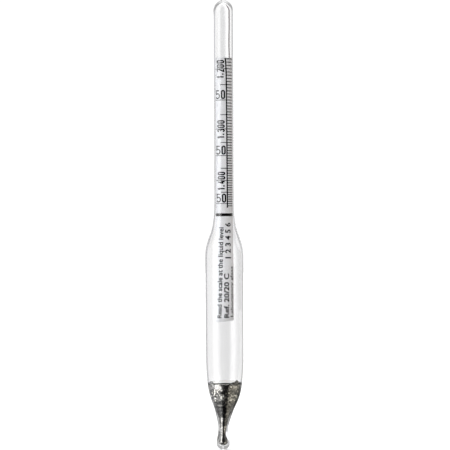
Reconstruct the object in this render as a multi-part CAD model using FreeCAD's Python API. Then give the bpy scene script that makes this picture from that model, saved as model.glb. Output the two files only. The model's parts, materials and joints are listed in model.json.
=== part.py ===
import FreeCAD, Part
import math
import os

# A short-form density hydrometer: a sealed glass float with a paper scale rolled inside its stem and
# cast metal in its tail. Sizes are in millimetres. Heights are measured up from the lowest point of
# the tip bead, and the finished pieces are then lowered so that the frame's origin is on the axis at
# the foot of the straight stem. The scale is read from the front, which faces -Y.

# Stem
LENGTH = 164.7
STEM_RADIUS = 3.6
STEM_WALL = 0.5
STEM_FOOT = 88.5
DOME_RISE = 4.1
DOME_THICKNESS = 0.95

# Body
BARREL_RADIUS = 7.0
BARREL_WALL = 0.55
BARREL_BOTTOM = 35.0
BARREL_TOP = 70.5
TAIL_SEAM = 30.7

# Tail
BEAD_RADIUS = 2.45
NECK_RADIUS = 1.82
NECK_HEIGHT = 7.7
BULB_RADIUS = 1.17
BULB_HEIGHT = 3.0

# Ballast
BALLAST_TOP = 24.65
SEAL_THICKNESS = 0.25

# Rolled paper scale
PAPER = 0.1
ROLL_RADIUS = 3.0
ROLL_FLARED_RADIUS = 3.3
ROLL_TOP = 143.4
ROLL_FLARE_TOP = 88.0
ROLL_FLARE_BOTTOM = 66.0
ROLL_BOTTOM = 47.1
ROLL_BOTTOM_SLOPE = 7.0
ROLL_HALF_TURN = math.radians(200)
ROLL_GROWTH = 0.13

# Black index band round the roll
BAND_BOTTOM = 85.5
BAND_HEIGHT = 1.06
BAND_THICKNESS = 0.05

# Dots of cement between the roll and the stem's bore
CEMENT_HEIGHTS = (139.0, 93.0)
CEMENT_RADIUS = 0.8
CEMENT_DEPTH = 0.2
CEMENT_ANGLE = math.radians(-145)


def at(radius, height):
    """A point of a half outline, which lies in the XZ plane."""
    return FreeCAD.Vector(radius, 0, height)


def line(start, end):
    return Part.makeLine(at(*start), at(*end))


def smooth(points, first, last):
    """A smooth curve through points that leaves and arrives in the directions given."""
    curve = Part.BSplineCurve()
    curve.interpolate(
        Points=[at(*p) for p in points],
        InitialTangent=at(*first),
        FinalTangent=at(*last),
    )
    return curve.toShape()


def dome(radius, foot, top):
    """A quarter ellipse from the stem's side at height foot to the axis at height top."""
    ellipse = Part.Ellipse(at(0, top), at(radius, foot), at(0, foot))
    return Part.ArcOfEllipse(ellipse, 0, math.pi / 2).toShape()


def turned(edges, bottom, top):
    """The solid that a half outline makes when it is turned about the axis."""
    outline = Part.Wire(Part.__sortEdges__(edges + [line((0, bottom), (0, top))]))
    return Part.Face(outline).revolve(FreeCAD.Vector(), FreeCAD.Vector(0, 0, 1), 360)


def envelope():
    """Everything inside the outer surface of the glass."""
    up = (0, 1)
    half = math.sqrt(0.5) * BEAD_RADIUS
    bead = Part.Arc(at(0, 0), at(half, BEAD_RADIUS - half), at(BEAD_RADIUS, BEAD_RADIUS))
    dome_foot = LENGTH - DOME_RISE
    edges = [
        bead.toShape(),
        smooth([(BEAD_RADIUS, BEAD_RADIUS), (NECK_RADIUS, NECK_HEIGHT)], up, up),
        smooth(
            [
                (NECK_RADIUS, NECK_HEIGHT),
                (2.4, 11.0),
                (3.75, 15.3),
                (5.4, 19.5),
                (6.5, 25.3),
                (6.88, 30.0),
                (BARREL_RADIUS, BARREL_BOTTOM),
            ],
            up,
            up,
        ),
        line((BARREL_RADIUS, BARREL_BOTTOM), (BARREL_RADIUS, BARREL_TOP)),
        smooth(
            [
                (BARREL_RADIUS, BARREL_TOP),
                (6.8, 73.3),
                (5.63, 77.7),
                (4.49, 81.0),
                (3.9, 84.5),
                (STEM_RADIUS, STEM_FOOT),
            ],
            up,
            up,
        ),
        line((STEM_RADIUS, STEM_FOOT), (STEM_RADIUS, dome_foot)),
        dome(STEM_RADIUS, dome_foot, LENGTH),
    ]
    return turned(edges, 0, LENGTH)


def cavity():
    """The sealed space inside the glass. It narrows to a fine core in the neck and ends in a small
    bulb inside the bead."""
    up = (0, 1)
    bulb_bottom = BULB_HEIGHT - BULB_RADIUS
    half = math.sqrt(0.5) * BULB_RADIUS
    stem_bore = STEM_RADIUS - STEM_WALL
    barrel_bore = BARREL_RADIUS - BARREL_WALL
    dome_foot = LENGTH - DOME_RISE
    dome_top = LENGTH - DOME_THICKNESS
    bulb = Part.Arc(at(0, bulb_bottom), at(half, BULB_HEIGHT - half), at(BULB_RADIUS, BULB_HEIGHT))
    edges = [
        bulb.toShape(),
        smooth(
            [
                (BULB_RADIUS, BULB_HEIGHT),
                (0.82, 4.6),
                (0.62, 6.1),
                (0.8, 7.8),
                (0.95, 9.3),
                (1.16, 11.2),
                (1.5, 12.9),
                (2.4, 15.0),
                (4.5, 19.5),
                (5.85, 25.3),
                (6.3, 30.0),
                (barrel_bore, BARREL_BOTTOM),
            ],
            up,
            up,
        ),
        line((barrel_bore, BARREL_BOTTOM), (barrel_bore, BARREL_TOP)),
        smooth(
            [
                (barrel_bore, BARREL_TOP),
                (6.25, 73.1),
                (5.08, 77.4),
                (3.95, 80.8),
                (3.38, 84.4),
                (stem_bore, STEM_FOOT),
            ],
            up,
            up,
        ),
        line((stem_bore, STEM_FOOT), (stem_bore, dome_foot)),
        dome(stem_bore, dome_foot, dome_top),
    ]
    return turned(edges, bulb_bottom, dome_top)


def slab(bottom, top):
    """A disc wider than the glass, used to take the pieces between two heights."""
    return Part.makeCylinder(2 * BARREL_RADIUS, top - bottom, at(0, bottom))


def roll_section(radius, height, thickness, lift, start, end):
    """A closed outline of rolled sheet. Its outer face is lift outside the paper's, and both faces
    move outwards as they turn, so that the sheet's end laps over its beginning at the back."""
    steps = 48
    outer = []
    inner = []
    for i in range(steps + 1):
        turn = start + (end - start) * i / steps
        face = radius + ROLL_GROWTH * turn / (2 * math.pi) + lift
        direction = FreeCAD.Vector(math.sin(turn), -math.cos(turn), 0)
        outer.append(direction * face + at(0, height))
        inner.append(direction * (face - thickness) + at(0, height))
    curves = []
    for points in (outer, inner):
        curve = Part.BSplineCurve()
        curve.interpolate(points)
        curves.append(curve.toShape())
    ends = [Part.makeLine(outer[0], inner[0]), Part.makeLine(outer[-1], inner[-1])]
    return Part.Wire(Part.__sortEdges__(curves + ends))


def scale_sheet():
    """The paper scale: straight in the stem, a little wider in the barrel, cut askew at its foot."""
    below = ROLL_BOTTOM - 2
    stations = [
        (ROLL_FLARED_RADIUS, below),
        (ROLL_FLARED_RADIUS, ROLL_FLARE_BOTTOM),
        (ROLL_RADIUS, ROLL_FLARE_TOP),
        (ROLL_RADIUS, ROLL_TOP),
    ]
    sections = [
        roll_section(radius, height, PAPER, 0, -ROLL_HALF_TURN, ROLL_HALF_TURN)
        for radius, height in stations
    ]
    roll = Part.makeLoft(sections, True, True)
    waste = slab(below - 2, ROLL_BOTTOM)
    waste.rotate(at(0, ROLL_BOTTOM), FreeCAD.Vector(0, 1, 0), -ROLL_BOTTOM_SLOPE)
    return roll.cut(waste)


def index_band():
    """A thin black strip wrapped once round the roll. It starts beside the lap and ends on top of it."""
    start = ROLL_HALF_TURN - 2 * math.pi + math.radians(2)
    sections = [
        roll_section(band_radius(height), height, BAND_THICKNESS, BAND_THICKNESS, start, ROLL_HALF_TURN)
        for height in (BAND_BOTTOM, BAND_BOTTOM + BAND_HEIGHT)
    ]
    return Part.makeLoft(sections, True, True)


def band_radius(height):
    """The roll's radius at a height within its flare."""
    share = (ROLL_FLARE_TOP - height) / (ROLL_FLARE_TOP - ROLL_FLARE_BOTTOM)
    return ROLL_RADIUS + share * (ROLL_FLARED_RADIUS - ROLL_RADIUS)


def scale_cement(sheet):
    """Dots of cement that fill the gap from the roll to the bore, beside the lap at the back."""
    bore = STEM_RADIUS - STEM_WALL
    outwards = FreeCAD.Vector(math.sin(CEMENT_ANGLE), -math.cos(CEMENT_ANGLE), 0)
    dots = []
    for height in CEMENT_HEIGHTS:
        foot = outwards * (bore - CEMENT_DEPTH) + at(0, height)
        peg = Part.makeCylinder(CEMENT_RADIUS, 2 * CEMENT_DEPTH, foot, outwards)
        inside = Part.makeCylinder(bore, 4 * CEMENT_RADIUS, at(0, height - 2 * CEMENT_RADIUS))
        dots.append(max(peg.common(inside).cut(sheet).Solids, key=outer_reach))
    return Part.makeCompound(dots)


def outer_reach(solid):
    """How far a solid's middle is from the axis, to tell a dot from a sliver inside the roll."""
    middle = solid.CenterOfMass
    return math.hypot(middle.x, middle.y)


def build():
    """Every piece, by name."""
    outside = envelope()
    inside = cavity()
    glass = outside.cut(inside)
    sheet = scale_sheet()
    return {
        "stem_tube": glass.common(slab(STEM_FOOT, LENGTH + 1)),
        "body_tube": glass.common(slab(TAIL_SEAM, STEM_FOOT)),
        "ballast_tail": glass.common(slab(-1, TAIL_SEAM)),
        "ballast_metal": inside.common(slab(0, BALLAST_TOP)),
        "ballast_seal": inside.common(slab(BALLAST_TOP, BALLAST_TOP + SEAL_THICKNESS)),
        "scale_sheet": sheet,
        "index_band": index_band(),
        "scale_cement": scale_cement(sheet),
    }


def main():
    os.makedirs("parts", exist_ok=True)
    for name, shape in build().items():
        shape.translate(at(0, -STEM_FOOT))
        shape.exportStep(f"parts/{name}.step")
        print(name, "solids", len(shape.Solids), "volume", round(shape.Volume, 3))


main()
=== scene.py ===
import json
import math

import bmesh
import bpy
import numpy as np
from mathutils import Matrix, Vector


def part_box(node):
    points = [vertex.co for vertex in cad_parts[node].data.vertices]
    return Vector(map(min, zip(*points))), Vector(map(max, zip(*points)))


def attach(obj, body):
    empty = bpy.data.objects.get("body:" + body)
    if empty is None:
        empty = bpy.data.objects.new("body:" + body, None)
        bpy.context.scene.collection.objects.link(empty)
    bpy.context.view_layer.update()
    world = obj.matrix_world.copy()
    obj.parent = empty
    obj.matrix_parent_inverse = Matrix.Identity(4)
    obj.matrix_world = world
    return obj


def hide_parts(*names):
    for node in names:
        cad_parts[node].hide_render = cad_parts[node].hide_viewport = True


# A short-form density hydrometer of clear glass. One fused glass envelope holds a rolled paper scale
# in its stem and cast metal in its tail. The scale is read from -Y.
#
# Radii, heights and sizes on the object are in millimetres. Heights are measured up from the lowest
# point of the tip bead. Turns about the axis are in radians from the front, positive towards +X.

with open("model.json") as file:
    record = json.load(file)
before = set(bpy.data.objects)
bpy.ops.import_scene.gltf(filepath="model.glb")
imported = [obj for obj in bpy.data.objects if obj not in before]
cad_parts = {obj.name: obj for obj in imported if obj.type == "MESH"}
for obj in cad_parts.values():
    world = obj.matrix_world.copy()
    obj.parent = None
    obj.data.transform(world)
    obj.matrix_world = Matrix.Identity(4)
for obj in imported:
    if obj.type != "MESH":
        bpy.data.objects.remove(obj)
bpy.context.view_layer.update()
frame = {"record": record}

MM = 0.001
TAU = 2 * math.pi
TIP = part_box("ballast_tail")[0].z


def height_of(z):
    return (z - TIP) / MM


MOUNTS = {mount["name"]: mount for mount in frame["record"]["mounts"]}

# Glass envelope
LENGTH = height_of(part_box("stem_tube")[1].z)
STEM_FOOT = height_of(MOUNTS["stem"]["pos_m"][2])
STEM_RADIUS = MOUNTS["stem"]["dims"]["r_mm"]
STEM_WALL = 0.5
DOME_FOOT = STEM_FOOT + MOUNTS["stem"]["dims"]["length_mm"]
DOME_THICKNESS = 0.95
BARREL_RADIUS = MOUNTS["barrel"]["dims"]["r_mm"]
BARREL_WALL = 0.55
BARREL_BOTTOM = height_of(MOUNTS["barrel"]["pos_m"][2])
BARREL_TOP = BARREL_BOTTOM + MOUNTS["barrel"]["dims"]["length_mm"]
BEAD_RADIUS = 2.45
NECK_RADIUS = 1.82
NECK_HEIGHT = 7.7
BULB_RADIUS = 1.17
BULB_HEIGHT = 3.0
SEGMENTS = 128
ROW_STEP = 1.5

# Unevenness of the drawn glass
OUTER_RIPPLE = 0.018
INNER_RIPPLE = 0.02
BULGE = 0.13
BULGE_HEIGHT = 161.5
BULGE_REACH = 1.8
DROP_LENGTH = 0.8
DROP_RADIUS = 0.4

# The tail was pulled slightly askew when it was sealed off
TAIL_BEND = 0.7
BEND_TOP = 20.0
BEND_BOTTOM = 6.0

# Rolled paper scale
ROLL_TOP = height_of(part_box("scale_sheet")[1].z)
ROLL_RADIUS = 3.0
ROLL_FLARED_RADIUS = 3.3
ROLL_FLARE_TOP = 88.0
ROLL_FLARE_BOTTOM = 66.0
ROLL_BOTTOM = 47.1
ROLL_BOTTOM_SLOPE = math.radians(7)
ROLL_HALF_TURN = math.radians(200)
ROLL_GROWTH = 0.13
PAPER = 0.1

# Index band
BAND_BOTTOM = height_of(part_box("index_band")[0].z)
BAND_TOP = height_of(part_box("index_band")[1].z)
BAND_THICKNESS = 0.05
BAND_GAP = 0.001
BAND_FROM_LAP = math.radians(2)

# Print
INK_PROUD = 0.012
INK_SUNK = 0.02
FIRST_MARK = 1185
LAST_MARK = 1455
MARK_STEP = 5
MARK_1200 = 139.3
MARK_1450 = 90.1
PRINT_TOP = 143.2
PRINT_BOTTOM = 88.6
SPINE_TURN_TOP = math.radians(18)
SPINE_TURN_BOTTOM = math.radians(22.5)
SPINE_WIDTH = 0.48
BORDER_PLACE = -4.75
BORDER_WIDTH = 0.15
TICK_END = math.radians(88)
TICK_HALF = 0.15
LONG_MARK_HALF = 0.11
SHORT_MARK_HALF = 0.13
SHORT_MARK_END = -2.25
BAR_TURN_STEP = 0.07
BAR_HEIGHT_STEP = 2.0
LETTER_STRIP = 0.2
HALF_CAPITAL = 0.36

# Ballast
BALLAST_TOP = height_of(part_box("ballast_metal")[1].z)
SEAL_TOP = height_of(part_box("ballast_seal")[1].z)
METAL_GAP = 0.035
METAL_BITE = 0.02
PATCHES_FOOT = 17.0
PATCHES_TOP = 22.4
SEAL_GAP = 0.12
SEAL_DIP = 0.06

# Cement drops
CEMENT_TURN = math.radians(-145)
CEMENT_RADIUS = 0.8
CEMENT_OUTSIDE = 3.075
CEMENT_INSIDE = 2.955
CEMENT_ROUNDING = 0.055
CEMENT_RINGS = 8
CEMENT_SPOKES = 28


# ---------------------------------------------------------------- curves and surfaces


def smoothstep(share):
    share = np.clip(share, 0, 1)
    return share * share * (3 - 2 * share)


def place(turn, radius, height):
    """Points in metres from turns about the axis, radii and heights, with the tail's bend."""
    bend = TAIL_BEND * smoothstep((BEND_TOP - height) / (BEND_TOP - BEND_BOTTOM))
    x = radius * np.sin(turn) - bend
    y = -radius * np.cos(turn)
    z = TIP / MM + height
    return np.stack(np.broadcast_arrays(x, y, z), -1) * MM


def curve(points, first, last, steps):
    """A smooth curve through points that leaves and arrives in the directions given."""
    knots = np.array(points, float)
    gaps = np.linalg.norm(np.diff(knots, axis=0), axis=1)
    count = len(knots)
    matrix = np.zeros((count, count))
    known = np.zeros((count, 2))
    matrix[0, 0] = 1
    matrix[-1, -1] = 1
    known[0] = first
    known[-1] = last
    for i in range(1, count - 1):
        before, after = gaps[i - 1], gaps[i]
        matrix[i, i - 1 : i + 2] = [1 / before, 2 / before + 2 / after, 1 / after]
        bend = (knots[i] - knots[i - 1]) / before**2 + (knots[i + 1] - knots[i]) / after**2
        known[i] = 3 * bend
    slopes = np.linalg.solve(matrix, known)
    made = []
    for i in range(count - 1):
        for t in np.arange(steps) / steps:
            made.append(
                (2 * t**3 - 3 * t**2 + 1) * knots[i]
                + (t**3 - 2 * t**2 + t) * gaps[i] * slopes[i]
                + (3 * t**2 - 2 * t**3) * knots[i + 1]
                + (t**3 - t**2) * gaps[i] * slopes[i + 1]
            )
    return made + [knots[-1]]


def straight(start, end, step):
    """Points along a straight line, no more than step apart, without its ends."""
    start, end = np.array(start, float), np.array(end, float)
    count = math.ceil(np.linalg.norm(end - start) / step)
    return [start + (end - start) * i / count for i in range(1, count)]


def ellipse(centre, radii, first, last, count):
    """Points along a stretch of an ellipse, with angles in degrees."""
    angles = np.radians(np.linspace(first, last, count))
    return [(centre[0] + radii[0] * math.cos(a), centre[1] + radii[1] * math.sin(a)) for a in angles]


def turned(outline, shape, inside_out=False, first_vertex=0):
    """Vertices and faces of a half outline turned about the axis. The outline starts and ends on the
    axis, and shape(turn, radius, height) gives the points."""
    rows = np.array(outline, float)
    turns = np.arange(SEGMENTS) * TAU / SEGMENTS
    grid = shape(turns[None, :], rows[1:-1, :1], rows[1:-1, 1:])
    ends = [shape(np.array(0.0), np.array(0.0), np.array(rows[i, 1])) for i in (0, -1)]
    vertices = [*grid.reshape(-1, 3), *ends]
    last = len(rows) - 3
    low, high = len(vertices) - 2, len(vertices) - 1
    faces = []
    for j in range(SEGMENTS):
        k = (j + 1) % SEGMENTS
        faces.append((low, k, j))
        faces.append((high, last * SEGMENTS + j, last * SEGMENTS + k))
        for i in range(last):
            row, above = i * SEGMENTS, (i + 1) * SEGMENTS
            faces.append((row + j, row + k, above + k, above + j))
    if inside_out:
        faces = [face[::-1] for face in faces]
    return vertices, [tuple(v + first_vertex for v in face) for face in faces]


def piece(name, vertices, faces, smooth=True):
    """A mesh object that rides on the single body."""
    mesh = bpy.data.meshes.new(name)
    mesh.from_pydata([tuple(v) for v in vertices], [], faces)
    mesh.polygons.foreach_set("use_smooth", [smooth] * len(mesh.polygons))
    mesh.update()
    made = bpy.data.objects.new(name, mesh)
    bpy.context.scene.collection.objects.link(made)
    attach(made, "root")
    return made


# ---------------------------------------------------------------- glass


def outer_outline():
    up = (0, 1)
    bead = ellipse((0, BEAD_RADIUS), (BEAD_RADIUS, BEAD_RADIUS), -90, 0, 20)
    neck = curve([(BEAD_RADIUS, BEAD_RADIUS), (NECK_RADIUS, NECK_HEIGHT)], up, up, 18)
    tail = curve(
        [
            (NECK_RADIUS, NECK_HEIGHT),
            (2.4, 11.0),
            (3.75, 15.3),
            (5.4, 19.5),
            (6.5, 25.3),
            (6.88, 30.0),
            (BARREL_RADIUS, BARREL_BOTTOM),
        ],
        up,
        up,
        9,
    )
    barrel = straight(tail[-1], (BARREL_RADIUS, BARREL_TOP), ROW_STEP)
    shoulder = curve(
        [
            (BARREL_RADIUS, BARREL_TOP),
            (6.8, 73.3),
            (5.63, 77.7),
            (4.49, 81.0),
            (3.9, 84.5),
            (STEM_RADIUS, STEM_FOOT),
        ],
        up,
        up,
        9,
    )
    stem = straight(shoulder[-1], (STEM_RADIUS, DOME_FOOT), ROW_STEP)
    dome = ellipse((0, DOME_FOOT), (STEM_RADIUS, LENGTH - DOME_FOOT), 0, 90, 28)
    return bead + neck[1:] + tail[1:] + barrel + shoulder + stem + dome


def inner_outline():
    up = (0, 1)
    bore = BARREL_RADIUS - BARREL_WALL
    stem_bore = STEM_RADIUS - STEM_WALL
    bulb = ellipse((0, BULB_HEIGHT), (BULB_RADIUS, BULB_RADIUS), -90, 0, 12)
    tail = curve(
        [
            (BULB_RADIUS, BULB_HEIGHT),
            (0.82, 4.6),
            (0.62, 6.1),
            (0.8, 7.8),
            (0.95, 9.3),
            (1.16, 11.2),
            (1.5, 12.9),
            (2.4, 15.0),
            (4.5, 19.5),
            (5.85, 25.3),
            (6.3, 30.0),
            (bore, BARREL_BOTTOM),
        ],
        up,
        up,
        8,
    )
    barrel = straight(tail[-1], (bore, BARREL_TOP), ROW_STEP)
    shoulder = curve(
        [
            (bore, BARREL_TOP),
            (6.25, 73.1),
            (5.08, 77.4),
            (3.95, 80.8),
            (3.38, 84.4),
            (stem_bore, STEM_FOOT),
        ],
        up,
        up,
        9,
    )
    stem = straight(shoulder[-1], (stem_bore, DOME_FOOT), ROW_STEP)
    dome = ellipse((0, DOME_FOOT), (stem_bore, LENGTH - DOME_THICKNESS - DOME_FOOT), 0, 90, 44)
    return bulb + tail[1:] + barrel + shoulder + stem + dome


def outer_glass(turn, radius, height):
    """The outer surface, with the slight ripple of drawn glass and a bulge below the sealed end."""
    hold = np.clip(radius / 2, 0, 1)
    ripple = 0.012 * np.cos(2 * turn - 0.8) + 0.006 * np.sin(0.55 * height + 1.5 * np.sin(turn))
    bulge = BULGE * np.exp(-(((height - BULGE_HEIGHT) / BULGE_REACH) ** 2))
    bulge = bulge * np.clip(-np.sin(turn), 0, 1) ** 2
    inwards = np.clip(OUTER_RIPPLE - ripple, 0, None)
    return place(turn, radius - inwards * hold + bulge * hold, height)


def inner_glass(turn, radius, height):
    """The bore, a little off centre and rippled, with a drop of glass hanging in the sealed end."""
    hold = np.clip(radius / 2, 0, 1)
    ripple = 0.01 * np.sin(0.42 * height + 2 * np.cos(turn + 1))
    ripple = ripple + 0.012 * np.cos(3 * turn + 0.04 * height)
    drop = DROP_LENGTH * np.exp(-((radius / DROP_RADIUS) ** 2)) * np.clip((height - DOME_FOOT) / 2.5, 0, 1)
    return place(turn, radius - np.clip(INNER_RIPPLE - ripple, 0, None) * hold, height - drop)


def make_envelope():
    outside, outside_faces = turned(outer_outline(), outer_glass)
    inside, inside_faces = turned(inner_outline(), inner_glass, True, len(outside))
    made = piece("glass_envelope", outside + inside, outside_faces + inside_faces)
    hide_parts("stem_tube", "body_tube", "ballast_tail")
    made.data.materials.append(glass_material())


# ---------------------------------------------------------------- paper roll


def roll_radius(turn, height):
    """The paper's outer face, which moves out as the sheet turns and widens below the stem."""
    share = np.clip((ROLL_FLARE_TOP - height) / (ROLL_FLARE_TOP - ROLL_FLARE_BOTTOM), 0, 1)
    return ROLL_RADIUS + (ROLL_FLARED_RADIUS - ROLL_RADIUS) * share + ROLL_GROWTH * turn / TAU


def rolled(name, start, end, steps, rows, inner_lift, outer_lift):
    """A closed sheet rolled round the axis. rows(turn) gives the heights, foot first, at each turn."""
    turns = np.linspace(start, end, steps)
    heights = np.array([rows(turn) for turn in turns])
    sides = []
    for lift in (outer_lift, inner_lift):
        radii = roll_radius(turns[:, None], heights) + lift
        sides.append(place(turns[:, None], radii, heights))
    columns, count = heights.shape
    vertices = [*sides[0].reshape(-1, 3), *sides[1].reshape(-1, 3)]
    faces = []
    for i in range(columns - 1):
        for j in range(count - 1):
            a = i * count + j
            faces.append((a, a + count, a + count + 1, a + 1))
    return piece(name, vertices, closed_faces(faces, columns * count))


def closed_faces(faces, offset):
    """The faces of a sheet, its back, whose vertices come offset later, and the walls round its rim."""
    edges = {}
    for face in faces:
        for start, end in zip(face, face[1:] + face[:1]):
            edges[start, end] = True
    walls = [(b, a, a + offset, b + offset) for a, b in edges if (b, a) not in edges]
    backs = [tuple(v + offset for v in face[::-1]) for face in faces]
    return faces + backs + walls


def paper_rows(turn):
    """The paper's rows, closer where it widens, from a foot that is cut askew."""
    foot = ROLL_BOTTOM + math.tan(ROLL_BOTTOM_SLOPE) * ROLL_FLARED_RADIUS * math.sin(turn)
    return [
        *np.linspace(foot, ROLL_FLARE_BOTTOM, 8),
        *np.linspace(ROLL_FLARE_BOTTOM, ROLL_FLARE_TOP, 12)[1:],
        *np.linspace(ROLL_FLARE_TOP, ROLL_TOP, 14)[1:],
    ]


def make_paper():
    made = rolled("paper_roll", -ROLL_HALF_TURN, ROLL_HALF_TURN, 180, paper_rows, -PAPER, 0)
    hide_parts("scale_sheet")
    made.data.materials.append(paper_material())


def band_rows(turn):
    """The band has the same two edges at every turn."""
    return [BAND_BOTTOM, BAND_TOP]


def make_band():
    start = ROLL_HALF_TURN - TAU + BAND_FROM_LAP
    made = rolled("index_ring", start, ROLL_HALF_TURN, 150, band_rows, BAND_GAP, BAND_THICKNESS)
    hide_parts("index_band")
    made.data.materials.append(band_material())


# ---------------------------------------------------------------- print on the roll


class Print:
    """Flat printed shapes, as vertices and faces, that are laid on the roll as one thin piece."""

    def __init__(self):
        self.vertices = []
        self.faces = []

    def add(self, points, faces):
        first = len(self.vertices)
        self.vertices += points
        self.faces += [tuple(first + v for v in face) for face in faces]

    def bar(self, left, right, bottom, top):
        """A rectangle, cut up so that it follows the roll. Each side is a turn or a height."""
        across = max(2, math.ceil((right - left) / BAR_TURN_STEP) + 1)
        up = max(2, math.ceil((top - bottom) / BAR_HEIGHT_STEP) + 1)
        columns = np.linspace(left, right, across)
        points = [(u, v) for v in np.linspace(bottom, top, up) for u in columns]
        faces = []
        for j in range(up - 1):
            for i in range(across - 1):
                a = j * across + i
                faces.append((a, a + 1, a + 1 + across, a + across))
        self.add(points, faces)

    def lay(self, name, skew, ink):
        """Wraps the print on the paper. skew(height) is the turn that is added at each height."""
        flat = np.array(self.vertices, float)
        heights = flat[:, 1]
        turns = flat[:, 0] + np.array([skew(height) for height in heights])
        radii = roll_radius(turns, heights)
        front, back = (place(turns, radii + lift, heights) for lift in (INK_PROUD, -INK_SUNK))
        made = piece(name, [*front, *back], closed_faces(self.faces, len(flat)), smooth=False)
        made.data.materials.append(ink)


def stroke(path, width, loop=False):
    """Points and faces of a pen line along path, in two strips side by side so that it bends with the
    roll. A loop's path doesn't repeat its first point."""
    line = np.array(path, float)
    following = np.roll(line, -1, 0) - line
    if not loop:
        following[-1] = following[-2]
    following /= np.linalg.norm(following, axis=1)[:, None]
    before = np.roll(following, 1, 0)
    if not loop:
        before[0] = following[0]
    normal = following + before
    normal = np.stack([-normal[:, 1], normal[:, 0]], 1)
    normal /= np.linalg.norm(normal, axis=1)[:, None]
    lean = following @ np.array([[0, 1], [-1, 0]])
    miter = np.clip((normal * lean).sum(1), 0.6, 1)
    shift = normal * (width / 2 / miter)[:, None]
    count = len(line)
    points = [tuple(p) for side in (-1, 0, 1) for p in line + side * shift]
    faces = []
    for i in range(count if loop else count - 1):
        k = (i + 1) % count
        faces.append((i, k, k + count, i + count))
        faces.append((i + count, k + count, k + 2 * count, i + 2 * count))
    return points, faces


def dense(path, step=0.2):
    """The path with points added so that none are more than step apart."""
    made = [tuple(path[0])]
    for start, end in zip(path, path[1:]):
        made += [tuple(p) for p in straight(start, end, step)] + [tuple(end)]
    return made


def digit(character, width, height):
    """The pen paths of a condensed upright figure: a list of (path, is a loop)."""
    r = width / 2
    top, low = height - r, r
    if character == "0":
        path = ellipse((r, top), (r, r), 0, 180, 9) + dense([(0, top), (0, low)])[1:-1]
        path += ellipse((r, low), (r, r), 180, 360, 9) + dense([(width, low), (width, top)])[1:-1]
        return [(path, True)]
    if character == "1":
        return [(dense([(0, height * 0.76), (r * 0.9, height), (r * 0.9, 0)]), False)]
    if character == "2":
        bowl = ellipse((r, top), (r, r), 175, -32, 10)
        return [(bowl + dense([bowl[-1], (0, 0), (width, 0)])[1:], False)]
    if character == "3":
        upper, lower = height * 0.235, height * 0.265
        bowl = ellipse((r * 0.95, height - upper), (r * 0.95, upper), 165, -90, 10)
        return [(bowl + ellipse((r, lower), (r, lower), 90, -165, 12)[1:], False)]
    if character == "4":
        bar = height * 0.3
        slope = dense([(width * 0.6, height), (0, bar), (width, bar)])
        return [(slope, False), (dense([(width * 0.7, height * 0.52), (width * 0.7, 0)]), False)]
    if character == "5":
        bowl = ellipse((r, height * 0.31), (r, height * 0.31), 140, -160, 12)
        return [(dense([(width * 0.95, height), (width * 0.08, height), bowl[0]]) + bowl[1:], False)]
    raise ValueError(character)


def upright(sheet, figures, bottom, height):
    """Upright figures: each one's character, left side, width and pen, round the roll."""
    for character, left, width, pen in figures:
        for path, loop in digit(character, width, height):
            points, faces = stroke(path, pen, loop)
            points = [((left + x) / ROLL_RADIUS, bottom + y) for x, y in points]
            sheet.add(points, faces)


def sideways(sheet, text, middle, centre, width, height, pen, gap):
    """Figures that are read upwards, with their tops to the left, centred on a height."""
    advance = {"1": width * 0.45, ".": pen}
    total = sum(advance.get(c, width) + gap for c in text) - gap
    along = middle - total / 2
    for character in text:
        if character == ".":
            shapes = [stroke([(0, pen * 0.55), (pen, pen * 0.55)], pen * 1.1)]
        else:
            shapes = [stroke(path, pen, loop) for path, loop in digit(character, width, height)]
        for points, faces in shapes:
            points = [((centre + height / 2 - y) / ROLL_RADIUS, along + x) for x, y in points]
            sheet.add(points, faces)
        along += advance.get(character, width) + gap


def mark_height(density):
    """The height at which the surface stands. It changes evenly with the volume per gram."""
    share = (1 / 1200 - 1 / density) / (1 / 1200 - 1 / 1450)
    return MARK_1200 + (MARK_1450 - MARK_1200) * share


def spine_turn(height):
    """The scale runs slightly askew up the roll, and bends to the left at its very top."""
    share = (height - PRINT_BOTTOM) / (PRINT_TOP - PRINT_BOTTOM)
    curl = math.radians(7) * math.exp((height - PRINT_TOP) / 3)
    return SPINE_TURN_BOTTOM + (SPINE_TURN_TOP - SPINE_TURN_BOTTOM) * share - curl


def numeral_turn(height):
    """The numerals lean a little less than the spine."""
    return math.radians(5.5) * (MARK_1200 - height) / (MARK_1200 - MARK_1450) - math.radians(1)


def make_graduations(ink):
    """A spine with a border on its left, ticks to the right, and longer marks every 25 and 50."""
    sheet = Print()
    spine = SPINE_WIDTH / 2 / ROLL_RADIUS
    border_left = (BORDER_PLACE - BORDER_WIDTH / 2) / ROLL_RADIUS
    border_right = (BORDER_PLACE + BORDER_WIDTH / 2) / ROLL_RADIUS
    sheet.bar(-spine, spine, PRINT_BOTTOM, PRINT_TOP)
    sheet.bar(border_left, border_right, PRINT_BOTTOM, PRINT_TOP)

    def mark(left, right, height, half):
        sheet.bar(left, right, height - half, height + half)

    for density in range(FIRST_MARK, LAST_MARK + 1, MARK_STEP):
        height = mark_height(density)
        mark(spine, TICK_END, height, TICK_HALF)
        if density % 50 == 0:
            mark(border_right, -spine, height, LONG_MARK_HALF)
        elif density % 25 == 0:
            mark(SHORT_MARK_END / ROLL_RADIUS, -spine, height, SHORT_MARK_HALF)
    sheet.lay("graduations", spine_turn, ink)


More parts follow.
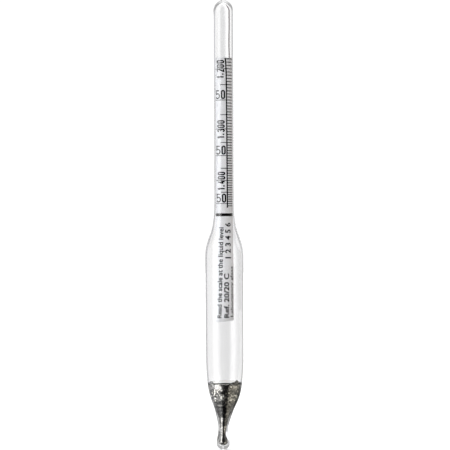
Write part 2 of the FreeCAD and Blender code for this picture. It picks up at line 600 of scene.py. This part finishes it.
def make_numerals(ink):
    """Every hundred is written in full and read upwards, and between them stands an upright 50."""
    sheet = Print()
    for density in range(1200, LAST_MARK + 1, 50):
        height = mark_height(density)
        if density % 100 == 0:
            text = f"{density / 1000:.3f}"
            sideways(sheet, text, height - 0.2, centre=-1.15, width=0.8, height=2.4, pen=0.5, gap=0.75)
        else:
            figures = [("5", -3.15, 1.6, 0.45), ("0", -0.72, 0.98, 0.54)]
            upright(sheet, figures, bottom=height + 0.6, height=2.8)
    sheet.lay("numerals", numeral_turn, ink)


def lettering(text, size, boldness):
    """A line of text as flat points and faces, cut into strips so that it can be bent."""
    font = bpy.data.curves.new("line", "FONT")
    font.body = text
    font.size = size
    font.resolution_u = 3
    font.offset = boldness
    holder = bpy.data.objects.new("line", font)
    mesh = bpy.data.meshes.new_from_object(holder)
    work = bmesh.new()
    work.from_mesh(mesh)
    for i in range(-3, 12):
        geometry = work.verts[:] + work.edges[:] + work.faces[:]
        level = (0, i * LETTER_STRIP, 0)
        bmesh.ops.bisect_plane(work, geom=geometry, plane_co=level, plane_no=(0, 1, 0))
    bmesh.ops.remove_doubles(work, verts=work.verts[:], dist=0.0005)
    work.verts.index_update()
    points = [(v.co.x, v.co.y) for v in work.verts]
    faces = [tuple(v.index for v in face.verts) for face in work.faces if face.calc_area() > 1e-7]
    work.free()
    bpy.data.objects.remove(holder)
    bpy.data.curves.remove(font)
    bpy.data.meshes.remove(mesh)
    return points, faces


def make_label(ink):
    """Lines that are read upwards: text, size, boldness, the heights where each starts and ends, and
    its turns there in degrees."""
    lines = [
        ("Read the scale at the liquid level", 2.7, 0.055, 48.2, 81.4, -37, -22),
        ("Ref. 20/20 C", 2.5, 0.07, 48.3, 64.6, 13, 13.5),
        ("Laboratory glass", 2.2, 0.025, 48.6, 67.2, 54, 52),
        ("1 2 3 4 5 6", 3.0, 0.08, 69.6, 83.1, 25, 24.5),
    ]
    sheet = Print()
    for text, size, boldness, foot, head, turn_foot, turn_head in lines:
        points, faces = lettering(text, size, boldness)
        length = max(x for x, y in points)
        middle = HALF_CAPITAL * size
        placed = []
        for x, y in points:
            share = x / length
            turn = math.radians(turn_foot + (turn_head - turn_foot) * share)
            height = foot + (head - foot) * share
            placed.append((turn + (middle - y) / ROLL_FLARED_RADIUS, height))
        sheet.add(placed, faces)
    sheet.lay("label_print", lambda height: 0.0, ink)


# ---------------------------------------------------------------- ballast


def ballast_outline():
    bore = inner_outline()
    radii, heights = np.array(bore).T
    rim = np.interp(BALLAST_TOP, heights, radii)
    wall = [(r, h) for r, h in bore if h < BALLAST_TOP - 0.1]
    return wall + [(rim, BALLAST_TOP)] + [(rim * s, BALLAST_TOP) for s in np.linspace(0.97, 0, 16)]


def ballast_surface(turn, radius, height):
    """The metal bites a hair into the glass, so that the two touch, and draws back from it in patches.
    At its top it has crept up the wall on the right, on the left and a little in front."""
    patches = np.sin(5 * turn + 1.9 * height) * np.sin(1.3 * height - 3 * turn)
    patches = patches * smoothstep((height - PATCHES_FOOT) / 2) * smoothstep((PATCHES_TOP - height) / 2)
    inset = METAL_GAP * np.clip(3 * patches - 0.6, 0, 1.5) - METAL_BITE
    near_wall = smoothstep((radius - 4.6) / 0.9) * (height > BALLAST_TOP - 0.3)
    right = 0.95 * np.exp(-(((turn - math.radians(45)) / 0.3) ** 2)) * (1 + 0.25 * np.sin(17 * turn))
    left = 0.8 * np.exp(-(((turn - math.radians(301)) / 0.17) ** 2))
    front = 0.3 * np.exp(-((np.sin(turn / 2) / 0.33) ** 2))
    lift = np.maximum(np.maximum(right, left), front)
    return place(turn, np.maximum(radius - inset, 0), height + near_wall * lift)


def make_ballast():
    vertices, faces = turned(ballast_outline(), ballast_surface)
    made = piece("cast_ballast", vertices, faces)
    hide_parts("ballast_metal")
    made.data.materials.append(lead_material())


def make_seal():
    """A thin wax layer that dips in its middle and climbs the wall a little."""
    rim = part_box("ballast_seal")[1].x / MM - SEAL_GAP
    low, high = BALLAST_TOP + 0.01, SEAL_TOP
    outline = [(rim * s, low) for s in np.linspace(0, 0.99, 12)]
    outline += [(rim, low + 0.06), (rim, high - 0.04), (rim * 0.99, high)]
    outline += [(rim * s, high - SEAL_DIP * (1 - s**6)) for s in np.linspace(0.96, 0, 14)]

    def surface(turn, radius, height):
        wobble = 0.02 * np.sin(3 * turn + 2 * radius) * (height > low + 0.1)
        edge = 1 - 0.02 * (1 + np.sin(5 * turn + 1)) * (radius > rim * 0.9)
        return place(turn, radius * edge, height - np.abs(wobble))

    vertices, faces = turned(outline, surface)
    made = piece("wax_seal", vertices, faces)
    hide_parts("ballast_seal")
    made.data.materials.append(wax_material())


def cement_drop(height_at):
    """Points and faces of a flattened drop: its face on the bore, its face on the roll, and the wall
    between them. Each face goes ring by ring from its middle."""
    points = []
    for side, lift in ((1, CEMENT_OUTSIDE), (-1, CEMENT_INSIDE)):
        for k in range(1, CEMENT_RINGS + 1):
            share = k / CEMENT_RINGS
            for j in range(CEMENT_SPOKES):
                around = j * TAU / CEMENT_SPOKES
                reach = CEMENT_RADIUS * share * (1 + 0.1 * math.sin(3 * around + height_at))
                radius = lift - side * CEMENT_ROUNDING * share**6
                turn = CEMENT_TURN + reach * math.cos(around) / ROLL_RADIUS
                points.append(place(turn, radius, height_at + reach * math.sin(around)))
    faces = [tuple(range(CEMENT_SPOKES))]
    for k in range(CEMENT_RINGS - 1):
        ring, beyond = k * CEMENT_SPOKES, (k + 1) * CEMENT_SPOKES
        for j in range(CEMENT_SPOKES):
            n = (j + 1) % CEMENT_SPOKES
            faces.append((ring + j, beyond + j, beyond + n, ring + n))
    return points, closed_faces(faces, CEMENT_RINGS * CEMENT_SPOKES)


def make_cement():
    """Two drops of cement that fill the gap from the roll to the bore, at the back."""
    low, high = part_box("scale_cement")
    vertices, faces = [], []
    for height_at in (height_of(low.z) + CEMENT_RADIUS, height_of(high.z) - CEMENT_RADIUS):
        points, drop = cement_drop(height_at)
        first = len(vertices)
        vertices += points
        faces += [tuple(first + v for v in face) for face in drop]
    made = piece("cement_drops", vertices, faces)
    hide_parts("scale_cement")
    made.data.materials.append(cement_material())


# ---------------------------------------------------------------- materials


def add(tree, kind, inputs=None, **settings):
    """A new node. inputs are values or other nodes' outputs, by the socket's name or number."""
    node = tree.nodes.new(kind)
    for name, value in settings.items():
        setattr(node, name, value)
    for key, value in (inputs or {}).items():
        if isinstance(value, bpy.types.NodeSocket):
            tree.links.new(value, node.inputs[key])
        else:
            node.inputs[key].default_value = value
    return node


def calc(tree, operation, *values):
    return add(tree, "ShaderNodeMath", dict(enumerate(values)), operation=operation).outputs[0]


def vector(tree, operation, *values):
    return add(tree, "ShaderNodeVectorMath", dict(enumerate(values)), operation=operation).outputs


def times(tree, first, *others):
    """The product of all the values."""
    for value in others:
        first = calc(tree, "MULTIPLY", first, value)
    return first


def rise(tree, value, low, high, soft=True):
    """0 at low and 1 at high, with a smooth or an even change between. low may be the greater one."""
    kind = "SMOOTHSTEP" if soft else "LINEAR"
    inputs = {"Value": value, "From Min": low, "From Max": high}
    return add(tree, "ShaderNodeMapRange", inputs, interpolation_type=kind).outputs[0]


def between(tree, value, one_edge, other_edge):
    """1 between two soft edges. Each edge is (where it is 0, where it is 1)."""
    return times(tree, rise(tree, value, *one_edge), rise(tree, value, *other_edge))


def mix(tree, factor, first, second, blend="MIX"):
    node = add(tree, "ShaderNodeMix", {0: factor, 6: first, 7: second}, data_type="RGBA", blend_type=blend)
    return node.outputs[2]


def ramp(tree, value, stops):
    """A colour for each value, from (value, colour) stops between 0 and 1."""
    node = add(tree, "ShaderNodeValToRGB", {0: value})
    elements = node.color_ramp.elements
    while len(elements) < len(stops):
        elements.new(0.5)
    for element, (position, color) in zip(elements, stops):
        element.position = position
        element.color = (*color, 1)
    return node.outputs[0]


def noise(tree, where, scale, detail=3.0, roughness=0.5):
    inputs = {"Vector": where, "Scale": scale, "Detail": detail, "Roughness": roughness}
    return add(tree, "ShaderNodeTexNoise", inputs).outputs[0]


def bump(tree, height, strength, distance):
    inputs = {"Height": height, "Strength": strength, "Distance": distance}
    return add(tree, "ShaderNodeBump", inputs).outputs[0]


def shader(name, **inputs):
    """A material with a Principled surface. Underscores in input names stand for spaces."""
    material = bpy.data.materials.new(name)
    material.use_nodes = True
    tree = material.node_tree
    surface = tree.nodes["Principled BSDF"]
    for key, value in inputs.items():
        surface.inputs[key.replace("_", " ")].default_value = value
    where = add(tree, "ShaderNodeTexCoord").outputs["Object"]
    return material, tree, surface, where


def stretched(tree, where, x, y, z):
    return add(tree, "ShaderNodeMapping", {"Vector": where, "Scale": (x, y, z)}).outputs[0]


def glass_material():
    material, tree, surface, where = shader(
        "clear_drawn_glass",
        Base_Color=(0.998, 0.997, 1.0, 1),
        Roughness=0.0,
        IOR=1.5,
        Transmission_Weight=1.0,
    )
    striae = noise(tree, stretched(tree, where, 1, 1, 0.06), 900, 2)
    tree.links.new(bump(tree, striae, 0.25, 0.000004), surface.inputs["Normal"])
    tint = add(tree, "ShaderNodeVolumeAbsorption", {"Color": (0.86, 0.89, 0.87, 1), "Density": 18.0})
    tree.links.new(tint.outputs[0], tree.nodes["Material Output"].inputs["Volume"])
    return material


def paper_material():
    material, tree, surface, where = shader("scale_paper", Roughness=0.85, Specular_IOR_Level=0.25)
    fibres = noise(tree, stretched(tree, where, 1, 1, 0.35), 9000, 4, 0.65)
    clouds = noise(tree, where, 420, 2)
    base = ramp(tree, fibres, [(0.3, (0.88, 0.87, 0.88)), (0.7, (0.94, 0.93, 0.94))])
    aged = ramp(tree, clouds, [(0.3, (0.955, 0.955, 0.945)), (0.7, (1, 1, 1))])
    tree.links.new(mix(tree, 1.0, base, aged, "MULTIPLY"), surface.inputs["Base Color"])
    tree.links.new(bump(tree, fibres, 0.35, 0.00001), surface.inputs["Normal"])
    return material


def ink_material():
    material, tree, surface, where = shader("printed_ink", Specular_IOR_Level=0.12)
    grain = noise(tree, where, 12000, 3)
    black = ramp(tree, grain, [(0.3, (0.002, 0.002, 0.003)), (0.75, (0.012, 0.012, 0.014))])
    tree.links.new(black, surface.inputs["Base Color"])
    tree.links.new(rise(tree, grain, 0.0, 1.4, False), surface.inputs["Roughness"])
    return material


def band_material():
    material, tree, surface, where = shader("index_band_black", Specular_IOR_Level=0.05)
    grain = noise(tree, stretched(tree, where, 1, 1, 3), 2500, 3)
    black = ramp(tree, grain, [(0.3, (0.0004, 0.0004, 0.0004)), (0.75, (0.0015, 0.0015, 0.0015))])
    tree.links.new(black, surface.inputs["Base Color"])
    tree.links.new(calc(tree, "MULTIPLY_ADD", grain, 0.2, 0.1), surface.inputs["Roughness"])
    return material


# Where the metal looks different. Each edge is (where a look ends, where it is full), in millimetres
# of height or, from the axis, to the right.
CRINKLE_FOOT = (15.5, 17.5)
CRINKLE_TOP = (22.9, 22.0)
CRINKLE_LEFT = (-1.6, -0.2)
# Painted shade in a band on the left of the lower cone
LOW_SHADE_FOOT = (11.6, 12.4)
LOW_SHADE_TOP = (18.2, 15.6)
LOW_SHADE_RIGHT = (1.0, -0.5)
# Painted shade on the right of the neck
NECK_SHADE_FOOT = (8.4, 9.6)
NECK_SHADE_TOP = (14.5, 13.0)
NECK_SHADE_LEFT = (-0.3, 0.3)
MOTTLE_LEFT = (-0.4, 1.2)
CREPT_FOOT = (24.35, 24.7)
RING_SPACING = 1.6
CRINKLES = 1650
CRINKLE_WARP = 0.8 * MM
CRINKLE_RELIEF = 5.2 / MM


def crinkles(tree, where):
    """The crinkled skin of cast lead. Each cell is a flat facet with a tilt and a tone of its own, with
    painted shade in the crease round it and a painted highlight inside it. Gives the facets' relief and the
    colour that multiplies the metal's."""
    warp = add(tree, "ShaderNodeTexNoise", {"Vector": where, "Scale": 700, "Detail": 2}).outputs[1]
    warped = vector(tree, "MULTIPLY_ADD", warp, (CRINKLE_WARP,) * 3, where)[0]
    cells = {"Vector": warped, "Scale": CRINKLES}
    grains = add(tree, "ShaderNodeTexVoronoi", cells).outputs
    edges = add(tree, "ShaderNodeTexVoronoi", cells, feature="DISTANCE_TO_EDGE").outputs[0]
    tilt = vector(tree, "SUBTRACT", grains["Color"], (0.5, 0.5, 0.5))[0]
    inside = vector(tree, "SUBTRACT", warped, grains["Position"])[0]
    facets = vector(tree, "DOT_PRODUCT", tilt, inside)["Value"]
    # Painted shade in the crease round each cell, and a painted highlight, 1.9 times the colour, inside it
    crease_shade_and_highlight = mix(tree, rise(tree, edges, 0.03, 0.16), (0.2, 0.2, 0.18, 1), (1.9, 1.9, 1.86, 1))
    tones = ramp(
        tree,
        grains["Color"],
        [(0.3, (0.35, 0.35, 0.34)), (0.5, (0.8, 0.8, 0.79)), (0.7, (1.15, 1.15, 1.13))],
    )
    return facets, mix(tree, 1.0, crease_shade_and_highlight, tones, "MULTIPLY")


def bare_metal(tree, where, patches, specks, aside):
    """The metal's own colour: patchy and pitted all over, and mottled on the right."""
    skin = ramp(
        tree,
        patches,
        [
            (0.4, (0.6, 0.59, 0.58)),
            (0.52, (0.47, 0.46, 0.44)),
            (0.6, (0.3, 0.29, 0.275)),
            (0.72, (0.12, 0.115, 0.1)),
        ],
    )
    pits = ramp(tree, specks, [(0.42, (0.45, 0.45, 0.43)), (0.55, (1, 1, 1))])
    skin = mix(tree, 1.0, skin, pits, "MULTIPLY")
    mottle = ramp(
        tree,
        noise(tree, where, 1250, 3, 0.7),
        [(0.42, (0.4, 0.4, 0.37)), (0.48, (0.85, 0.85, 0.84)), (0.6, (1.3, 1.3, 1.28))],
    )
    mottled = mix(tree, 1.0, skin, mottle, "MULTIPLY")
    return mix(tree, rise(tree, aside, *MOTTLE_LEFT), skin, mottled)


def lead_material():
    """Cast lead seen through glass: crinkled, with painted crease shade and highlights, in the upper cone,
    with painted shade in a faintly ringed band on the left of the lower one and on the right of the neck,
    and dull where it has crept up the wall."""
    material, tree, surface, where = shader("cast_lead", Metallic=1.0)
    patches = noise(tree, where, 620, 5, 0.62)
    specks = noise(tree, where, 2400, 4, 0.6)
    swell = noise(tree, where, 520, 1)
    parts = add(tree, "ShaderNodeSeparateXYZ", {0: where}).outputs
    aside = calc(tree, "DIVIDE", parts[0], MM)
    height = calc(tree, "MULTIPLY_ADD", parts[2], 1 / MM, -TIP / MM)
    rings = calc(tree, "SINE", calc(tree, "MULTIPLY", height, TAU / RING_SPACING))

    half_on_right = calc(tree, "MULTIPLY_ADD", rise(tree, aside, *CRINKLE_LEFT), -0.5, 1.0)
    crinkled = times(tree, between(tree, height, CRINKLE_FOOT, CRINKLE_TOP), half_on_right)
    # The band of painted shade on the lower cone, on its left, with faint rings
    low = between(tree, height, LOW_SHADE_FOOT, LOW_SHADE_TOP)
    low_left_shade = times(tree, low, rise(tree, aside, *LOW_SHADE_RIGHT))
    ringed_low_shade = times(tree, low_left_shade, calc(tree, "MULTIPLY_ADD", rings, 0.1, 0.9))
    # Painted shade on the right of the neck and the foot of the lower cone
    neck_right_shade = times(tree, between(tree, height, NECK_SHADE_FOOT, NECK_SHADE_TOP), rise(tree, aside, *NECK_SHADE_LEFT), 0.7)
    crept = times(tree, rise(tree, height, *CREPT_FOOT), 0.75)
    shade_and_crept = calc(tree, "MAXIMUM", neck_right_shade, calc(tree, "MAXIMUM", ringed_low_shade, crept))

    facets, crease_shade_and_highlight = crinkles(tree, where)
    # The skin is also a little darker in the band of painted shade
    skin = bare_metal(tree, where, calc(tree, "MULTIPLY_ADD", low, 0.05, patches), specks, aside)
    # The colour of the painted shade and of the dull crept metal, darker from the middle to the right
    shade_and_dull_colour = mix(tree, rise(tree, aside, -2.2, -1.0), (0.05, 0.047, 0.045, 1), (0.01, 0.01, 0.009, 1))
    skin = mix(tree, shade_and_crept, skin, shade_and_dull_colour)
    # Painted crease shade and highlights where the skin is crinkled: full on the left, half on the right
    skin = mix(tree, crinkled, skin, mix(tree, 1.0, skin, crease_shade_and_highlight, "MULTIPLY"))
    tree.links.new(skin, surface.inputs["Base Color"])
    tree.links.new(rise(tree, patches, 0.36, 3.2, False), surface.inputs["Roughness"])

    relief = calc(tree, "MULTIPLY_ADD", specks, 0.04, calc(tree, "MULTIPLY", swell, 0.35))
    relief = calc(tree, "ADD", times(tree, rings, low_left_shade), relief)
    relief = calc(tree, "MULTIPLY_ADD", times(tree, facets, crinkled), CRINKLE_RELIEF, relief)
    tree.links.new(bump(tree, relief, 1.0, 0.0001), surface.inputs["Normal"])
    return material


def wax_material():
    material, tree, surface, where = shader(
        "sealing_wax",
        Roughness=0.2,
        Subsurface_Weight=0.25,
        Subsurface_Radius=(0.6 * MM, 0.45 * MM, 0.3 * MM),
    )
    clouds = noise(tree, where, 900, 3)
    cream = ramp(tree, clouds, [(0.3, (0.92, 0.9, 0.82)), (0.7, (0.98, 0.97, 0.93))])
    tree.links.new(cream, surface.inputs["Base Color"])
    tree.links.new(bump(tree, clouds, 0.3, 0.00004), surface.inputs["Normal"])
    return material


def cement_material():
    material, tree, surface, where = shader(
        "amber_cement",
        Roughness=0.25,
        Subsurface_Weight=0.4,
        Subsurface_Radius=(0.5 * MM, 0.3 * MM, 0.1 * MM),
    )
    clouds = noise(tree, where, 1500, 3)
    amber = ramp(tree, clouds, [(0.3, (0.5, 0.34, 0.13)), (0.7, (0.74, 0.58, 0.32))])
    tree.links.new(amber, surface.inputs["Base Color"])
    tree.links.new(bump(tree, clouds, 0.2, 0.00002), surface.inputs["Normal"])
    return material


# ---------------------------------------------------------------- studio

# A colour ramp holds values up to 1, so brighter ones are divided by this and multiplied again
RAMP_SCALE = 3.0
MAUVE = (0.99, 0.99, 1.02)
WARM = (1.05, 1.0, 0.9)


def graded(tree, value, low, high, stops):
    """A bright colour for each value from (value, colour) stops, evenly joined."""
    share = calc(tree, "DIVIDE", calc(tree, "SUBTRACT", value, low), high - low)
    scaled = []
    for at, color in stops:
        scaled.append(((at - low) / (high - low), tuple(c / RAMP_SCALE for c in color)))
    color = ramp(tree, share, scaled)
    return add(tree, "ShaderNodeVectorMath", {0: color, "Scale": RAMP_SCALE}, operation="SCALE").outputs[0]


def tinted(color, *stops):
    """Stops that are multiples of a colour."""
    return [(at, tuple(level * c for c in color)) for at, level in stops]


def grey(*stops):
    return tinted((1, 1, 1), *stops)


def room_above():
    return [
        *grey((-180, 0.9), (-172, 0.4), (-100, 0.4), (-88, 0.05), (34, 0.05), (60, 0.2)),
        *grey((110, 0.35), (150, 0.45), (172, 0.5), (180, 0.9)),
    ]


def room_level():
    return [
        *grey((-180, 1.0), (-165, 0.95)),
        *tinted(MAUVE, (-152, 0.5), (-135, 0.65), (-95, 0.72)),
        *grey((-88, 0.02), (34, 0.012)),
        *tinted(WARM, (49, 0.05), (62, 0.1), (77, 0.17), (92, 0.22), (112, 0.3)),
        *grey((130, 0.6), (152, 0.5), (165, 0.95), (180, 1.0)),
    ]


def room_below():
    return [
        *grey((-180, 0.6), (-170, 0.7)),
        *tinted(MAUVE, (-160, 1.2), (-110, 1.25), (-88, 1.1)),
        *grey((-80, 1.4), (-62, 2.3), (-36, 2.3), (-28, 0.9)),
        *grey((-20, 0.25), (-10, 0.1), (2, 0.02), (26, 0.02)),
        *tinted(WARM, (34, 0.34), (44, 0.55), (54, 0.98), (64, 1.1), (114, 1.0)),
        *grey((119, 0.15), (150, 0.15), (165, 0.3), (180, 0.6)),
    ]


def room_underneath():
    return [
        *grey((-180, 0.6)),
        *tinted(MAUVE, (-150, 0.5), (-95, 0.4), (-80, 0.36)),
        *grey((-58, 0.36), (-44, 0.14), (-30, 0.02), (28, 0.01)),
        *tinted(WARM, (44, 0.26), (64, 0.5), (116, 0.55)),
        *grey((124, 0.35), (150, 0.35), (165, 0.5), (180, 0.6)),
    ]


def large_lamp():
    return [
        *grey((-100, 0.0), (-90, 0.7), (-80, 1.7), (-70, 2.6), (-60, 2.98)),
        *grey((-48, 2.7), (-39, 1.1), (-30, 0.2), (-22, 0.05), (-14, 0.0)),
    ]


def light_tent(tree, azimuth, elevation):
    """What gloss and refraction meet, by degrees from the front: a large soft-edged lamp on the left and
    another below it, a dark gap where the camera stands, a warm card on the right and a pale wall at the
    back. All but the large lamp change with the height, in four bands, and the ceiling is bright."""

    def round_about(stops):
        return graded(tree, azimuth, -180, 180, stops)

    tent = mix(tree, rise(tree, elevation, 8, 14), round_about(room_level()), round_about(room_above()))
    tent = mix(tree, rise(tree, elevation, -11, -18), tent, round_about(room_below()))
    tent = mix(tree, rise(tree, elevation, -39, -51), tent, round_about(room_underneath()))
    lamp_foot = graded(tree, elevation, -90, 90, grey((-26, 0.0), (-15, 1.0)))
    lamp = mix(tree, 1.0, round_about(large_lamp()), lamp_foot, "MULTIPLY")
    tent = mix(tree, 1.0, tent, lamp, "ADD")
    return mix(tree, rise(tree, elevation, 48, 62), tent, (2.2, 2.2, 2.2, 1))


def soft_light(tree, azimuth, elevation):
    """What lights the matt surfaces: a tent that is brighter and cooler on the left, and brightest
    overhead."""
    aside = calc(tree, "COSINE", calc(tree, "MULTIPLY", calc(tree, "ADD", azimuth, 80.0), TAU / 360))
    level = calc(tree, "MULTIPLY_ADD", aside, 0.62, 1.2)
    level = calc(tree, "ADD", level, calc(tree, "MULTIPLY", rise(tree, elevation, 40, 70), 1.2))
    red = calc(tree, "MULTIPLY", level, calc(tree, "MULTIPLY_ADD", aside, -0.04, 1.0))
    blue = calc(tree, "MULTIPLY", level, calc(tree, "MULTIPLY_ADD", aside, 0.04, 1.0))
    return add(tree, "ShaderNodeCombineXYZ", {0: red, 1: level, 2: blue}).outputs[0]


PANEL = 45.0
UPRIGHT_PLACE = 6.3
BROWN = (0.2, 0.17, 0.17, 1)


def seen_through(tree, azimuth, elevation):
    """The pale surroundings that show through the glass: white panels round the object, each a quarter
    turn wide, and half a panel further round from 10 degrees below the horizon. A brown upright stands
    above the horizon at the back."""
    lowered = calc(tree, "MULTIPLY", rise(tree, elevation, -9, -10), PANEL)
    off = calc(tree, "WRAP", calc(tree, "ADD", azimuth, lowered), PANEL, -PANEL)
    aside = calc(tree, "MULTIPLY", off, -1.0)

    def panel(left, *right):
        return graded(tree, aside, -PANEL, PANEL, grey(*left, *right))

    high_left = [(-45, 0.84), (-30, 0.97), (-16, 1.05), (-10, 1.0), (-8, 0.88)]
    low_left = [(-45, 0.9), (-30, 1.0), (-16, 1.08), (-10, 1.03)]
    low_left += [(-5, 0.94), (-1.8, 0.93), (-0.9, 1.03), (-0.5, 0.93), (0.9, 0.87)]
    middle_right = [(2, 0.97), (3.3, 0.95), (4, 0.88), (5, 0.83), (7.8, 0.77), (11, 0.82), (19, 0.98)]

    upper = panel(
        high_left, (0.5, 0.88), (0.9, 1.02), (1.6, 1.06), (2.6, 1.12), (16, 1.06), (30, 0.92), (45, 0.8)
    )
    middle = panel(low_left, *middle_right, (45, 0.8))
    lower = panel(low_left, (2, 0.96), (3.3, 0.93), (5, 0.9), (8, 0.97), (19, 1.1), (45, 1.05))
    panels = mix(tree, rise(tree, elevation, 2.4, 1.6), upper, middle)
    panels = mix(tree, rise(tree, elevation, -2.6, -2.9), panels, lower)

    from_upright = calc(tree, "ABSOLUTE", calc(tree, "SUBTRACT", aside, UPRIGHT_PLACE))
    behind = calc(tree, "GREATER_THAN", calc(tree, "ABSOLUTE", azimuth), 150.0)
    upright_there = times(tree, rise(tree, from_upright, 2.1, 1.4), behind, rise(tree, elevation, 2.2, 3.0))
    return mix(tree, upright_there, panels, BROWN)


def make_world():
    """Light from all round, fixed to the scene. The kind of ray decides which light it meets: a matt
    surface's the soft light, one through three or more glass surfaces the pale surroundings, and any
    other reflection or refraction the light tent. What the camera sees past the object is white."""
    world = bpy.data.worlds.new("light_tent")
    bpy.context.scene.world = world
    world.use_nodes = True
    tree = world.node_tree
    where = add(tree, "ShaderNodeTexCoord").outputs["Generated"]
    parts = add(tree, "ShaderNodeSeparateXYZ", {0: where}).outputs
    azimuth = calc(tree, "ARCTAN2", parts[0], calc(tree, "MULTIPLY", parts[1], -1.0))
    azimuth = calc(tree, "MULTIPLY", azimuth, 360 / TAU)
    elevation = calc(tree, "MULTIPLY", calc(tree, "ARCSINE", parts[2]), 360 / TAU)
    path = add(tree, "ShaderNodeLightPath").outputs
    matt = calc(tree, "GREATER_THAN", path["Diffuse Depth"], 0.5)
    through = calc(tree, "GREATER_THAN", path["Transmission Depth"], 2.5)
    through = times(tree, through, calc(tree, "LESS_THAN", path["Glossy Depth"], 0.5))
    light = light_tent(tree, azimuth, elevation)
    light = mix(tree, through, light, seen_through(tree, azimuth, elevation))
    light = mix(tree, matt, light, soft_light(tree, azimuth, elevation))
    light = mix(tree, path["Is Camera Ray"], light, (1.08, 1.08, 1.08, 1))
    tree.links.new(light, tree.nodes["Background"].inputs["Color"])


def make_floor():
    """A wide pale floor at the height of the tip."""
    size, sides = 2.6, 96
    rim = [(size * math.cos(a), size * math.sin(a), TIP) for a in np.arange(sides) * TAU / sides]
    mesh = bpy.data.meshes.new("floor")
    mesh.from_pydata(rim, [], [tuple(range(sides))])
    floor = bpy.data.objects.new("floor", mesh)
    bpy.context.scene.collection.objects.link(floor)
    material, tree, surface, where = shader("pale_floor", Roughness=1.0, Specular_IOR_Level=0.0)
    speckle = noise(tree, where, 400, 3)
    pale = ramp(tree, speckle, [(0.3, (0.9, 0.9, 0.9)), (0.7, (0.94, 0.94, 0.94))])
    tree.links.new(pale, surface.inputs["Base Color"])
    mesh.materials.append(material)
    for kind in ("diffuse", "glossy", "transmission", "shadow"):
        setattr(floor, f"visible_{kind}", False)


CAMERA_DISTANCE = 0.70
CAMERA_HEIGHT = 82.3
CAMERA_ASIDE = 0.29
CAMERA_ROLL = math.radians(0.24)
VIEW_HEIGHT = 164.8


def make_camera():
    """Level with the middle of the object, with the whole length just inside the view."""
    data = bpy.data.cameras.new("camera")
    data.sensor_width = 36
    data.lens = data.sensor_width * CAMERA_DISTANCE / (VIEW_HEIGHT * MM)
    camera = bpy.data.objects.new("camera", data)
    camera.location = (CAMERA_ASIDE * MM, -CAMERA_DISTANCE, TIP + CAMERA_HEIGHT * MM)
    camera.rotation_euler = (math.pi / 2, CAMERA_ROLL, 0)
    bpy.context.scene.collection.objects.link(camera)
    bpy.context.scene.camera = camera


# ---------------------------------------------------------------- the whole

bpy.context.scene.view_settings.view_transform = "Standard"
ink = ink_material()
make_envelope()
make_paper()
make_band()
make_graduations(ink)
make_numerals(ink)
make_label(ink)
make_ballast()
make_seal()
make_cement()
make_world()
make_floor()
make_camera()
